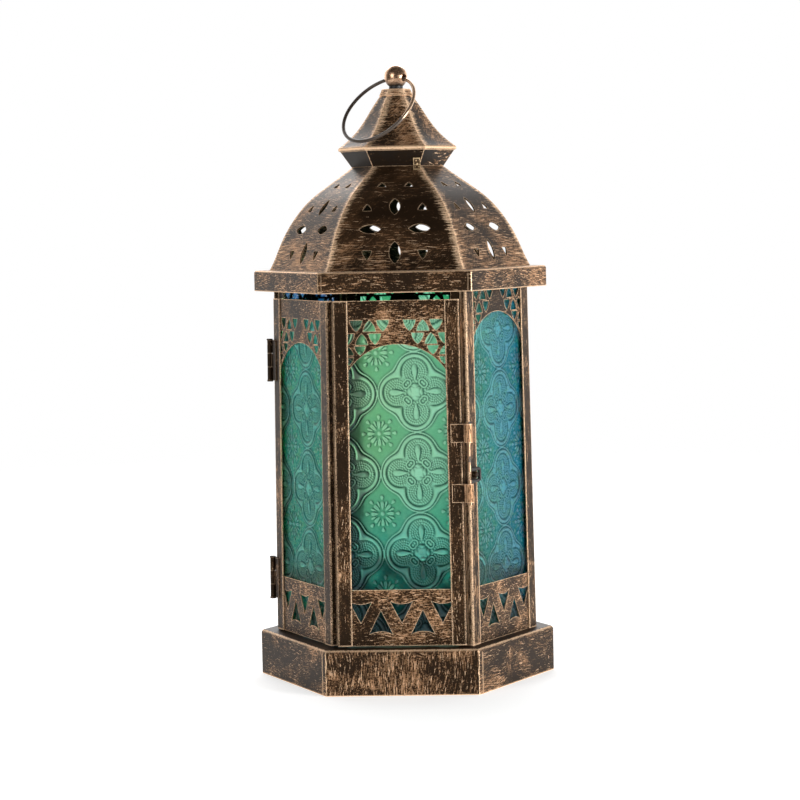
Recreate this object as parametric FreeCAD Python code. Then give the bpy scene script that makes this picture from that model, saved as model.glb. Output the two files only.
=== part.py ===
import FreeCAD, Part
import math
import os

# Hexagonal metal lantern with relief glass panes. Millimetres, +Z up.
# The origin is on the floor under the lantern's axis. The front facet faces -Y.

os.makedirs("parts", exist_ok=True)
V = FreeCAD.Vector
COS30 = math.cos(math.pi / 6)

# ---- overall sizes ---------------------------------------------------------
TOTAL_HEIGHT = 300.0        # floor to top of the ball finial
BASE_R = 73.0               # corner radius of the base tray
BASE_H = 22.0
BASE_EDGE = 1.8             # rounding of the tray's folded edges
SHEET = 0.8                 # sheet metal of base, eave and roof
TOUCH = 0.005               # pieces that only touch stand this far apart

BODY_R_BOTTOM = 65.6        # corner radius of the glazed body at the base
BODY_R_TOP = 63.7           # and under the eave
BODY_TOP = 200.0            # underside of the eave ledge
CORNER_SETBACK = 2.1        # each stile stops this far from the body's true corner

EAVE_R = 72.2
EAVE_BOTTOM = 190.8
EAVE_TOP = BODY_TOP + SHEET
EAVE_HOLE_R = 61.2

DOOR_BOTTOM = 22.75
DOOR_TOP = 187.0

# ---- channel stiles, screens and glass ------------------------------------
STILE_W = 7.0               # visible face of a stile
STILE_T = 0.6
STILE_BEND = 0.6            # outer radius of the bend along the stile's edge
STILE_EASE = 0.25           # softened cut edge beside the window
LIP_W = 5.0                 # inner lip of the channel
SCREEN_T = 0.5
GLASS_T = 1.5
GLASS_PLAY = 0.1
CHANNEL = STILE_T + SCREEN_T + GLASS_T + GLASS_PLAY + STILE_T
SCREEN_GAP = 0.4            # sheet edge to the channel's side wall
GLASS_FOOT = 0.7            # the pane stands this far above its screen's edge

# pierced screen, heights measured on the door
SILL = 49.6                 # lower edge of the window
ARCH_TOP = 166.3
ARCH_R = 27.7
WINDOW_HALF = 25.5          # window's hidden half width behind the stiles
FIXED_RISE = 13.6           # the fixed screens' arches stand this much higher

# spandrel: rows of pierced triangles, each (top height, height, half width,
# centres of the ones that point down, centres of the ones that point up)
SPANDREL = [
    (177.8, 5.4, 3.0, (6.3, 18.9), (12.6,)),
    (171.5, 5.3, 2.95, (10.1, 22.7), (16.4,)),
    (165.5, 4.3, 2.7, (17.2,), (22.9,)),
    (160.2, 3.6, 2.3, (22.5,), ()),
]
SPANDREL_SWELL = 0.12       # a triangle's sides bulge by this share of its height
# lower band: triangles that point down hang under it, those that point up stand
BAND_DOWN = (-19.5, 0.0, 19.5)
BAND_UP = (-10.0, 10.0)
BAND_DOWN_TOP = 44.0
BAND_DOWN_APEX = 33.6
BAND_DOWN_HALF = 5.4
BAND_SAG = 1.3
BAND_UP_APEX = 39.8
BAND_UP_BASE = 28.2
BAND_UP_HALF = 5.7
BAND_BULGE = 1.5

# ---- corner angles ---------------------------------------------------------
ANGLE_T = 0.6
ANGLE_LEG = 7.0             # leg length from the body's true corner
STOP_LEG = 6.0              # leg behind the door's edge
STOP_GAP = 0.45             # door's channel to that leg

# ---- hinges at the left corner ---------------------------------------------
HINGE_Z = (48.15, 156.5)    # middle heights
HINGE_LEN = 19.8
HINGE_OUT = 1.0             # barrel axis outside the body's true corner
BARREL_R = 1.3
LEAF_T = 0.6
LEAF_REACH = 5.4            # leaf's inner edge along the facet from the corner
PIN_R = 0.6
PIN_PLAY = 0.05
KNUCKLE_GAP = 0.15
BEAD_R = 1.55
BEAD_H = 0.7

# ---- latch at the front right corner ---------------------------------------
STRAP_Z = (95.3, 123.8)     # middle heights of the two straps
STRAP_H = 8.8
STRAP_T = 0.9
STRAP_REACH = 7.4           # leaf's inner edge from the true corner
ROD_U = 1.0                 # rod axis beyond the true corner, along the front
ROD_N = 1.5                 # and in front of the front facet
KNUCKLE_R = 1.9
ROD_R = 0.9
ROD_PLAY = 0.05
ROD_HEAD_R = 1.5
ROD_HEAD_H = 0.8
LOOP_Z = (100.8, 106.4)     # centre lines of the loop's two bars
LOOP_REACH = 9.4
LOOP_CORNER = 1.6
KEEPER_ALONG = 5.2          # keeper peg from the true corner
KEEPER_R = 1.5
KEEPER_H = 2.4

# ---- roof -------------------------------------------------------------------
# corner radius and height along a hip of the dome, foot to neck
DOME_PROFILE = [(64.3, EAVE_TOP), (62.0, 205.2), (58.0, 214.5), (52.4, 224.3),
                (44.3, 234.0), (31.1, 244.0), (22.3, 250.5)]
# pierced holes of one gore: shape, offset from the middle, distance up the
# gore from its foot, width, height; "up" and "down" are triangles
GORE_HOLES = [
    ("leaf", 0.0, 9.3, 5.4, 11.2),
    ("down", -13.2, 8.0, 4.7, 4.7), ("down", 13.2, 8.0, 4.7, 4.7),
    ("leaf", -11.7, 21.4, 10.4, 4.7), ("leaf", 11.7, 21.4, 10.4, 4.7),
    ("leaf", 0.0, 34.0, 5.0, 9.8),
    ("up", -13.1, 33.6, 4.3, 4.0), ("up", 13.1, 33.6, 4.3, 4.0),
    ("up", -6.4, 49.0, 4.2, 3.4), ("up", 6.4, 49.0, 4.2, 3.4),
]
NECK_R = 22.3
NECK_Z = 250.5
FLANGE_R = 29.0
RIM_LOW = 258.2             # underside of the cap's rolled rim
RIM_TOP = 260.1
CAP_PROFILE = [(28.6, RIM_TOP), (23.6, 264.0), (18.2, 269.8), (13.3, 277.1), (7.9, 284.9)]
CROWN_LOW_R = 8.4
CROWN_TOP_R = 6.9
CROWN_TOP = 288.3
BALL_R = 5.7
BALL_NECK_R = 3.4
STUD_R = 2.0
NUT_FLATS = 7.0
NUT_H = 3.2

# ---- hanging ring -----------------------------------------------------------
RING_R = 20.2               # to the wire's centre line
WIRE_R = 0.85
RING_HOLE_R = 1.8           # cross hole of the ball
RING_PIVOT_Z = 293.6
RING_AZIMUTH = -39.4        # direction of the cross hole
RING_TILT = 40.15           # lean from straight down: it rests on the cap's rim

# ---- candle cup -------------------------------------------------------------
CUP_BORE_R = 20.4
CUP_WALL = 0.6
CUP_H = 12.0
RIVET_R = 1.5
RIVET_HEAD_R = 2.6
RIVET_TAIL_H = 1.0

FACETS = {"front": 270, "right_front": 330, "right_rear": 30,
          "rear": 90, "left_rear": 150, "left_front": 210}
DOOR_FACETS = ("front", "left_front")
CORNER_HINGE = 180
CORNER_LATCH = 300


def save(name, shape):
    shape.exportStep("parts/" + name + ".step")


def body_r(z):
    """Corner radius of the body's outer face at height z."""
    share = (z - BASE_H) / (BODY_TOP - BASE_H)
    return BODY_R_BOTTOM + (BODY_R_TOP - BODY_R_BOTTOM) * share


LEAN = (BODY_R_BOTTOM - BODY_R_TOP) / (BODY_TOP - BASE_H)     # corners lean in by this
FACET_TILT = math.atan(LEAN * COS30)


def azimuth(degrees):
    a = math.radians(degrees)
    return V(math.cos(a), math.sin(a), 0)


def hexagon(radius, z):
    points = [azimuth(60 * k) * radius + V(0, 0, z) for k in range(7)]
    return Part.makePolygon(points)


def hex_prism(radius, z0, z1):
    return Part.Face(hexagon(radius, z0)).extrude(V(0, 0, z1 - z0))


def slab(z0, z1):
    size = 4 * BASE_R
    return Part.makeBox(size, size, z1 - z0, V(-size / 2, -size / 2, z0))


def fillet(shape, radius, wanted):
    return shape.makeFillet(radius, [e for e in shape.Edges if wanted(e)])


def is_upright(edge):
    a, b = edge.Vertexes[0].Point, edge.Vertexes[-1].Point
    return abs(a.z - b.z) > 0.5 * edge.Length


def at_height(z):
    return lambda e: all(abs(v.Point.z - z) < 1e-4 for v in e.Vertexes)


def facet_matrix(facet_azimuth):
    """Facet frame: x along the facet, y up its slope from the base, z outward."""
    n = azimuth(facet_azimuth)
    c, s = math.cos(FACET_TILT), math.sin(FACET_TILT)
    along = V(-n.y, n.x, 0)
    up = V(-n.x * s, -n.y * s, c)
    out = V(n.x * c, n.y * c, s)
    origin = n * (BODY_R_BOTTOM * COS30)
    return FreeCAD.Matrix(along.x, up.x, out.x, origin.x,
                          along.y, up.y, out.y, origin.y,
                          along.z, up.z, out.z, BASE_H,
                          0, 0, 0, 1)


def on_facet(shape, name):
    return shape.transformed(facet_matrix(FACETS[name]), copy=True)


def half_width(y):
    """Half width of a facet at y above the base."""
    return body_r(y + BASE_H) / 2


def closed_face(points, z=0.0):
    points = [V(x, y, z) for x, y in points]
    return Part.Face(Part.makePolygon(points + points[:1]))


# ---- facet pieces -----------------------------------------------------------
def channel_stile(side, y0, y1):
    """U channel along one edge of a facet. side is +1 or -1."""
    def section(y):
        edge = half_width(y) - CORNER_SETBACK
        cut_edge = edge - STILE_W

        def at(x, n):
            return V(side * x, y, n)

        def rounded(x, inward, radius):
            """Quarter arc at the face's corner x, from the side wall to the face."""
            slack = radius * (1 - math.sqrt(0.5))
            return (at(x, -radius), at(x + inward * slack, -slack), at(x + inward * radius, 0))

        bend = rounded(edge, -1, STILE_BEND)
        ease = rounded(cut_edge, 1, STILE_EASE)
        walk = [bend[0], at(edge, -CHANNEL), at(edge - LIP_W, -CHANNEL),
                at(edge - LIP_W, -CHANNEL + STILE_T), at(edge - STILE_T, -CHANNEL + STILE_T),
                at(edge - STILE_T, -STILE_T), at(cut_edge, -STILE_T), ease[0]]
        edges = [Part.makeLine(a, b) for a, b in zip(walk, walk[1:])]
        edges += [Part.Arc(*ease).toShape(), Part.makeLine(ease[2], bend[2]),
                  Part.Arc(*reversed(bend)).toShape()]
        return Part.Wire(edges)
    return Part.makeLoft([section(y0), section(y1)], True, True)


def plate_outline(y0, y1, gap):
    reach0 = half_width(y0) - CORNER_SETBACK - STILE_T - gap
    reach1 = half_width(y1) - CORNER_SETBACK - STILE_T - gap
    return [(-reach0, y0), (reach0, y0), (reach1, y1), (-reach1, y1)]


def window_wire(rise):
    sill = SILL - BASE_H
    centre = ARCH_TOP + rise - ARCH_R - BASE_H
    shoulder = centre + math.sqrt(ARCH_R ** 2 - WINDOW_HALF ** 2)
    left, right = V(-WINDOW_HALF, shoulder, 0), V(WINDOW_HALF, shoulder, 0)
    crown = V(0, centre + ARCH_R, 0)
    low_left, low_right = V(-WINDOW_HALF, sill, 0), V(WINDOW_HALF, sill, 0)
    return Part.Wire([Part.makeLine(low_left, low_right), Part.makeLine(low_right, right),
                      Part.Arc(right, crown, left).toShape(), Part.makeLine(left, low_left)])


def triangle_wire(x, base_y, apex_y, half, bulge=0.0, swell=0.0):
    """Triangle with a level base. A bulge lifts the base into an arc; a swell pushes
    the two sides outward into arcs."""
    left, right, apex = V(x - half, base_y, 0), V(x + half, base_y, 0), V(x, apex_y, 0)

    def side(start, end, push):
        if not push.Length:
            return Part.makeLine(start, end)
        return Part.Arc(start, (start + end) * 0.5 + push, end).toShape()

    rise = apex_y - base_y
    length = math.hypot(half, rise)
    out_x, out_y = swell * abs(rise) / length, swell * math.copysign(half, rise) / length
    return Part.Wire([side(left, right, V(0, bulge, 0)), side(right, apex, V(out_x, out_y, 0)),
                      side(apex, left, V(-out_x, out_y, 0))])


def screen_holes(rise):
    holes = [window_wire(rise)]
    for top, height, half, downs, ups in SPANDREL:
        high = top + rise - BASE_H
        swell = SPANDREL_SWELL * height
        for side in (-1, 1):
            holes += [triangle_wire(side * x, high, high - height, half, swell=swell) for x in downs]
            holes += [triangle_wire(side * x, high - height, high, half, swell=swell) for x in ups]
    for x in BAND_DOWN:
        holes.append(triangle_wire(x, BAND_DOWN_TOP - BASE_H, BAND_DOWN_APEX - BASE_H,
                                   BAND_DOWN_HALF, -BAND_SAG))
    for x in BAND_UP:
        holes.append(triangle_wire(x, BAND_UP_BASE - BASE_H, BAND_UP_APEX - BASE_H,
                                   BAND_UP_HALF, BAND_BULGE))
    return holes


def pierced_screen(y0, y1, rise):
    points = [V(x, y, 0) for x, y in plate_outline(y0, y1, SCREEN_GAP)]
    outer = Part.makePolygon(points + points[:1])
    face = Part.makeFace([outer] + screen_holes(rise), "Part::FaceMakerBullseye")
    screen = face.extrude(V(0, 0, SCREEN_T))
    screen.translate(V(0, 0, -STILE_T - SCREEN_T))
    return screen


def glass_pane(y0, y1):
    face = closed_face(plate_outline(y0, y1, SCREEN_GAP), -STILE_T - SCREEN_T - GLASS_T)
    return face.extrude(V(0, 0, GLASS_T))


def glass_clips(y0, y1):
    """Bent clips that hold a pane's lower and upper edges behind its screen."""
    clip_w, clip_t, grip = 6.0, 0.5, 5.0
    back = -STILE_T - SCREEN_T - GLASS_T
    clips = []
    for x in (-14.0, 14.0):
        for edge, inward in ((y0, 1), (y1, -1)):
            foot = [(back - clip_t, edge), (back + GLASS_T, edge),
                    (back + GLASS_T, edge - inward * clip_t), (back - clip_t, edge - inward * clip_t)]
            leg = [(back - clip_t, edge), (back, edge),
                   (back, edge + inward * grip), (back - clip_t, edge + inward * grip)]
            solids = []
            for outline in (foot, leg):
                points = [V(x - clip_w / 2, y, n) for n, y in outline]
                face = Part.Face(Part.makePolygon(points + points[:1]))
                solids.append(face.extrude(V(clip_w, 0, 0)))
            clips.append(solids[0].fuse(solids[1]).removeSplitter())
    return Part.makeCompound(clips)


def corner_angle(corner, z0, z1, depths, legs):
    """Folded strip inside a corner. depths and legs are for the facets on the
    clockwise and the anticlockwise side of the corner."""
    def section(z):
        apothem = body_r(z) * COS30
        tip = azimuth(corner) * body_r(z)
        normals = (azimuth(corner - 30), azimuth(corner + 30))
        runs = (azimuth(corner - 120), azimuth(corner + 120))

        def fold(extra):
            a, b = apothem - depths[0] - extra, apothem - depths[1] - extra
            na, nb = normals
            det = na.x * nb.y - na.y * nb.x
            return V((a * nb.y - b * na.y) / det, (na.x * b - nb.x * a) / det, z)

        def end(k, extra):
            flat = tip + runs[k] * legs[k] - normals[k] * (depths[k] + extra)
            return V(flat.x, flat.y, z)

        points = [end(0, 0), fold(0), end(1, 0), end(1, ANGLE_T), fold(ANGLE_T), end(0, ANGLE_T)]
        return Part.makePolygon(points + points[:1])
    return Part.makeLoft([section(z0), section(z1)], True, True)


def make_facet(name, y0, y1, rise, keep):
    for word, side in (("left", -1), ("right", 1)):
        stile = on_facet(channel_stile(side, y0 - 1, y1 + 1), name).common(keep)
        save(name + "_stile_" + word, stile)
    save(name + "_screen", on_facet(pierced_screen(y0 + 0.02, y1 - 0.02, rise), name).common(keep))
    low, high = y0 + GLASS_FOOT, y1 - GLASS_FOOT
    save(name + "_glass", on_facet(glass_pane(low, high), name))
    return on_facet(glass_clips(low, high), name)


def make_body():
    fixed_clips, door_clips = [], []
    for name in FACETS:
        if name in DOOR_FACETS:
            keep = slab(DOOR_BOTTOM, DOOR_TOP)
            door_clips.append(make_facet(name, DOOR_BOTTOM - BASE_H, DOOR_TOP - BASE_H, 0, keep))
        else:
            keep = slab(BASE_H, BODY_TOP)
            fixed_clips.append(make_facet(name, 0.0, BODY_TOP - BASE_H, FIXED_RISE, keep))
    save("glass_clips_body", Part.makeCompound([s for c in fixed_clips for s in c.Solids]))
    save("glass_clips_door", Part.makeCompound([s for c in door_clips for s in c.Solids]))

    snug = CHANNEL / math.cos(FACET_TILT) + TOUCH
    apart = CHANNEL + STOP_GAP
    for word, corner in (("right", 0), ("rear_right", 60), ("rear_left", 120)):
        save("corner_angle_" + word,
             corner_angle(corner, BASE_H, BODY_TOP, (snug, snug), (ANGLE_LEG, ANGLE_LEG)))
    save("door_corner_angle",
         corner_angle(240, DOOR_BOTTOM, DOOR_TOP, (snug, snug), (ANGLE_LEG, ANGLE_LEG)))
    save("hinge_post_angle",
         corner_angle(CORNER_HINGE, BASE_H, BODY_TOP, (snug, apart), (ANGLE_LEG, STOP_LEG)))
    save("latch_post_angle",
         corner_angle(CORNER_LATCH, BASE_H, BODY_TOP, (apart, snug), (STOP_LEG, ANGLE_LEG)))


# ---- base -------------------------------------------------------------------
def cut_seam(shape, radius, facet_azimuth, corner, inset, z0, z1):
    """Narrow upright groove where the folded sheet's ends meet, inset from a corner."""
    seam_w, seam_deep = 0.35, 0.35
    run = azimuth(corner + math.copysign(120, facet_azimuth - corner))
    groove = Part.makeBox(2 * seam_deep, seam_w, z1 - z0, V(-seam_deep, -seam_w / 2, z0))
    groove.rotate(V(0, 0, 0), V(0, 0, 1), facet_azimuth)
    groove.translate(azimuth(corner) * radius + run * inset)
    return shape.cut(groove)


def make_base():
    outer = hex_prism(BASE_R, 0, BASE_H)
    outer = fillet(outer, BASE_EDGE, lambda e: is_upright(e) or at_height(BASE_H)(e))
    inner = hex_prism(BASE_R - SHEET / COS30, -1, BASE_H - SHEET)
    inner = fillet(inner, BASE_EDGE - SHEET, lambda e: is_upright(e) or at_height(BASE_H - SHEET)(e))
    tray = outer.cut(inner)
    for facet_azimuth, corner in ((210, 240), (330, 300)):
        tray = cut_seam(tray, BASE_R, facet_azimuth, corner, BASE_EDGE + 1.4, -0.5, BASE_H - 2)

    floor_top = BASE_H + CUP_WALL
    rivet = make_rivet(floor_top)
    tray = tray.cut(rivet)
    save("base_tray", tray)
    cup = Part.makeCylinder(CUP_BORE_R + CUP_WALL, CUP_H, V(0, 0, BASE_H))
    cup = cup.cut(Part.makeCylinder(CUP_BORE_R, CUP_H, V(0, 0, floor_top)))
    save("candle_cup", cup.cut(rivet))
    save("cup_rivet", rivet)


def make_rivet(top):
    """Flush rivet through the cup's floor and the base, clenched below."""
    under = BASE_H - SHEET
    outline = [V(0, 0, top), V(RIVET_HEAD_R, 0, top), V(RIVET_R, 0, top - CUP_WALL),
               V(RIVET_R, 0, under), V(RIVET_HEAD_R, 0, under),
               V(RIVET_HEAD_R, 0, under - RIVET_TAIL_H), V(0, 0, under - RIVET_TAIL_H)]
    face = Part.Face(Part.makePolygon(outline + outline[:1]))
    return face.revolve(V(0, 0, 0), V(0, 0, 1), 360)


# ---- hinges -----------------------------------------------------------------
def leaning_frame(corner, reach, side_step, z):
    """Placement whose Z axis follows the corner's lean, through a point beside it.
    X points along the corner's outward radius."""
    out = azimuth(corner)
    up = V(-out.x * LEAN, -out.y * LEAN, 1).normalize()
    across = V(-out.y, out.x, 0)
    forward = across.cross(up)
    origin = out * (body_r(z) + reach) + across * side_step + V(0, 0, z)
    return FreeCAD.Matrix(forward.x, across.x, up.x, origin.x,
                          forward.y, across.y, up.y, origin.y,
                          forward.z, across.z, up.z, origin.z,
                          0, 0, 0, 1)


def hinge_leaf(side, z0, z1, bore_r, cut_spans):
    """Leaf of one hinge in the leaning frame: X outward, Z up the barrel.
    The facet runs away from the corner at 120 degrees to X. The leaf lies on
    the facet's outer face and rolls into knuckles around the barrel axis."""
    length = z1 - z0
    run = V(math.cos(math.radians(120)), side * math.sin(math.radians(120)), 0)
    normal = V(math.cos(math.radians(30)), side * math.sin(math.radians(30)), 0)
    outer = V(-HINGE_OUT, 0, z0) + normal * TOUCH
    inner = outer + run * LEAF_REACH
    points = [inner, outer, outer + normal * LEAF_T, inner + normal * LEAF_T]
    leaf = Part.Face(Part.makePolygon(points + points[:1])).extrude(V(0, 0, length))
    barrel = Part.makeCylinder(BARREL_R, length, V(0, 0, z0))
    solid = leaf.fuse(barrel)
    solid = solid.cut(Part.makeCylinder(bore_r, length, V(0, 0, z0)))
    for low, high in cut_spans:
        relief = Part.makeCylinder(BARREL_R + 0.3, high - low, V(0, 0, low))
        beyond = Part.makeBox(4, 8, high - low, V(-HINGE_OUT - 0.6, -4, low))
        solid = solid.cut(relief.fuse(beyond))
    return solid


def make_hinges():
    half = HINGE_LEN / 2
    third = HINGE_LEN / 6
    for word, z in (("lower", HINGE_Z[0]), ("upper", HINGE_Z[1])):
        place = leaning_frame(CORNER_HINGE, HINGE_OUT, 0, z)
        # the door's leaf runs clockwise of the corner, the frame's anticlockwise
        frame_gap = [(-third - KNUCKLE_GAP, third + KNUCKLE_GAP)]
        door_gaps = [(-half - 1, -third), (third, half + 1)]
        frame_leaf = hinge_leaf(-1, -half, half, PIN_R, frame_gap)
        door_leaf = hinge_leaf(1, -half, half, PIN_R + PIN_PLAY, door_gaps)
        save("hinge_frame_leaf_" + word, frame_leaf.transformed(place, copy=True))
        save("hinge_door_leaf_" + word, door_leaf.transformed(place, copy=True))
        pin = Part.makeCylinder(PIN_R, HINGE_LEN, V(0, 0, -half))
        for z0 in (half, -half - BEAD_H):
            pin = pin.fuse(Part.makeCylinder(BEAD_R, BEAD_H, V(0, 0, z0)))
        pin = fillet(pin.removeSplitter(), 0.3,
                     lambda e: e.Closed and abs(abs(e.CenterOfMass.z) - half - BEAD_H) < 1e-4
                     and e.Length > 6)
        save("hinge_pin_" + word, pin.transformed(place, copy=True))


# ---- latch ------------------------------------------------------------------
def latch_frame(z):
    """Frame on the rod's axis: X along the front facet, Y inward, Z up the rod."""
    corner = azimuth(CORNER_LATCH) * body_r(z)
    up = V(-azimuth(CORNER_LATCH).x * LEAN, -azimuth(CORNER_LATCH).y * LEAN, 1).normalize()
    along = V(1, 0, 0)
    inward = up.cross(along).normalize()
    along = inward.cross(up)
    origin = V(corner.x + ROD_U, corner.y - ROD_N, z)
    return FreeCAD.Matrix(along.x, inward.x, up.x, origin.x,
                          along.y, inward.y, up.y, origin.y,
                          along.z, inward.z, up.z, origin.z,
                          0, 0, 0, 1)


def make_latch():
    middle = sum(STRAP_Z) / 2
    place = latch_frame(middle)
    low_z, high_z = STRAP_Z[0] - middle, STRAP_Z[1] - middle
    for word, z in (("lower", low_z), ("upper", high_z)):
        z0 = z - STRAP_H / 2
        # the leaf rests on the stile's face, then rolls round the rod
        leaf = Part.makeBox(STRAP_REACH, STRAP_T, STRAP_H,
                            V(-ROD_U - STRAP_REACH, ROD_N - STRAP_T - 0.02, z0))
        bridge = Part.makeBox(ROD_U + 0.4, STRAP_T, STRAP_H,
                              V(-ROD_U - 0.4, ROD_N - STRAP_T - 0.02, z0))
        knuckle = Part.makeCylinder(KNUCKLE_R, STRAP_H, V(0, 0, z0))
        strap = leaf.fuse([bridge, knuckle]).removeSplitter()
        strap = strap.cut(Part.makeCylinder(ROD_R + ROD_PLAY, STRAP_H, V(0, 0, z0)))
        save("latch_strap_" + word, strap.transformed(place, copy=True))

    # wire: rod through both knuckles with a loop that reaches over the fixed stile
    top = high_z + STRAP_H / 2 + 0.2
    bottom = low_z - STRAP_H / 2 - 0.2
    bar_low, bar_high = LOOP_Z[0] - middle, LOOP_Z[1] - middle
    toward = V(0.5, COS30, 0)
    far = toward * LOOP_REACH
    lift = V(0, 0, 1)
    rod = Part.makeCylinder(ROD_R, top - bottom, V(0, 0, bottom))
    corner = LOOP_CORNER
    a0 = V(0, 0, bar_high)
    a1 = toward * (LOOP_REACH - corner) + lift * bar_high
    a2 = far + lift * (bar_high - corner)
    a3 = far + lift * (bar_low + corner)
    a4 = toward * (LOOP_REACH - corner) + lift * bar_low
    a5 = V(0, 0, bar_low)
    bend = corner * (1 - math.sqrt(0.5))
    mid_high = far - toward * bend + lift * (bar_high - bend)
    mid_low = far - toward * bend + lift * (bar_low + bend)
    path = Part.Wire([Part.makeLine(a0, a1), Part.Arc(a1, mid_high, a2).toShape(),
                      Part.makeLine(a2, a3), Part.Arc(a3, mid_low, a4).toShape(),
                      Part.makeLine(a4, a5)])
    profile = Part.Wire([Part.makeCircle(ROD_R * 0.92, a0, toward)])
    loop = path.makePipeShell([profile], True, True)
    wire = rod.fuse(loop)
    # the rod is open between the two bars, as one bent wire is
    window = Part.makeCylinder(ROD_R + 0.01, bar_high - bar_low - 2 * ROD_R,
                               V(0, 0, bar_low + ROD_R))
    wire = wire.cut(window)
    for z0 in (top - 0.01, bottom - ROD_HEAD_H + 0.01):
        wire = wire.fuse(Part.makeCylinder(ROD_HEAD_R, ROD_HEAD_H, V(0, 0, z0)))
    save("latch_wire", wire.removeSplitter().transformed(place, copy=True))

    # keeper peg on the fixed stile, inside the loop
    y = (LOOP_Z[0] + LOOP_Z[1]) / 2 - BASE_H
    x = -(half_width(y) - KEEPER_ALONG)
    peg = Part.makeCylinder(KEEPER_R, KEEPER_H, V(x, y, 0))
    peg = fillet(peg, 0.6, lambda e: e.Closed and abs(e.CenterOfMass.z - KEEPER_H) < 1e-4)
    save("latch_keeper", on_facet(peg, "right_front"))


# ---- roof -------------------------------------------------------------------
def profile_curve(points, inset=0.0):
    """Spline through (corner radius, height) points, in facet distances.
    inset moves it inward along its own normals."""
    flat = [(r * COS30, z) for r, z in points]
    curve = Part.BSplineCurve()
    curve.interpolate([V(r, 0, z) for r, z in flat])
    if not inset:
        return curve
    moved = []
    steps = 12
    for k in range(steps + 1):
        t = curve.FirstParameter + (curve.LastParameter - curve.FirstParameter) * k / steps
        tangent = curve.tangent(t)[0]
        normal = V(tangent.z, 0, -tangent.x)
        if normal.x < 0:
            normal = normal * -1
        moved.append(curve.value(t) - normal * inset)
    inner = Part.BSplineCurve()
    inner.interpolate(moved)
    return inner


def gore_wedge(z0, z1):
    """Sixty-degree wedge around +X."""
    reach = 2 * BASE_R
    points = [V(0, 0, z0), azimuth(-30) * reach + V(0, 0, z0), azimuth(30) * reach + V(0, 0, z0)]
    return Part.Face(Part.makePolygon(points + points[:1])).extrude(V(0, 0, z1 - z0))


def bent_plate(outer, inner, width):
    """Sheet between two profiles, level at both ends, along Y."""
    lines = [outer.toShape(),
             Part.makeLine(outer.value(outer.LastParameter), inner.value(inner.LastParameter)),
             inner.toShape(),
             Part.makeLine(inner.value(inner.FirstParameter), outer.value(outer.FirstParameter))]
    face = Part.Face(Part.Wire(Part.sortEdges(lines)[0]))
    face.translate(V(0, -width / 2, 0))
    return face.extrude(V(0, width, 0))


def hole_wire(kind, width, height):
    """Outline in the XY plane, X across the gore, Y up it."""
    w, h = width / 2, height / 2
    if kind == "leaf":
        if h > w:
            ends, sides = (V(0, -h, 0), V(0, h, 0)), (V(w, 0, 0), V(-w, 0, 0))
        else:
            ends, sides = (V(-w, 0, 0), V(w, 0, 0)), (V(0, -h, 0), V(0, h, 0))
        return Part.Wire([Part.Arc(ends[0], sides[0], ends[1]).toShape(),
                          Part.Arc(ends[1], sides[1], ends[0]).toShape()])
    sign = 1 if kind == "up" else -1
    return triangle_wire(0, -sign * h, sign * h, w, bulge=-sign * 0.2, swell=0.35)


def make_roof():
    outer = profile_curve(DOME_PROFILE)
    inner = profile_curve(DOME_PROFILE, SHEET)
    plate = bent_plate(outer, inner, 2 * BASE_R)
    gore = plate.common(gore_wedge(0, TOTAL_HEIGHT)).common(slab(EAVE_TOP, NECK_Z))
    for kind, across, distance, width, height in GORE_HOLES:
        t = outer.parameterAtDistance(distance, outer.FirstParameter)
        point, rise = outer.value(t), outer.tangent(t)[0]
        if rise.z < 0:
            rise = rise * -1
        side = V(0, 1, 0)
        out = side.cross(rise)
        matrix = FreeCAD.Matrix(side.x, rise.x, out.x, point.x,
                                side.y, rise.y, out.y, point.y + across,
                                side.z, rise.z, out.z, point.z,
                                0, 0, 0, 1)
        depth = 3 * SHEET
        cutter = Part.Face(hole_wire(kind, width, height)).extrude(V(0, 0, 2 * depth))
        cutter.translate(V(0, 0, -depth))
        gore = gore.cut(cutter.transformed(matrix, copy=True))
    for name, facet_azimuth in FACETS.items():
        piece = gore.copy()
        piece.rotate(V(0, 0, 0), V(0, 0, 1), facet_azimuth)
        save("roof_gore_" + name, piece)


def make_eave():
    outer = hex_prism(EAVE_R, EAVE_BOTTOM, EAVE_TOP)
    outer = fillet(outer, 1.4, lambda e: is_upright(e) or at_height(EAVE_TOP)(e))
    inner = hex_prism(EAVE_R - SHEET / COS30, EAVE_BOTTOM - 1, BODY_TOP)
    inner = fillet(inner, 0.6, lambda e: is_upright(e) or at_height(BODY_TOP)(e))
    opening = hex_prism(EAVE_HOLE_R, EAVE_BOTTOM, EAVE_TOP + 1)
    band = outer.cut(inner).cut(opening)
    for corner in (240, 300):
        band = cut_seam(band, EAVE_R, FACETS["front"], corner, 1.7, EAVE_BOTTOM - 1, EAVE_TOP - 1.5)
    save("eave_band", band)


def hex_loft(levels):
    wires = [hexagon(radius, z) for radius, z in levels]
    return Part.makeLoft(wires, True, True)


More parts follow.
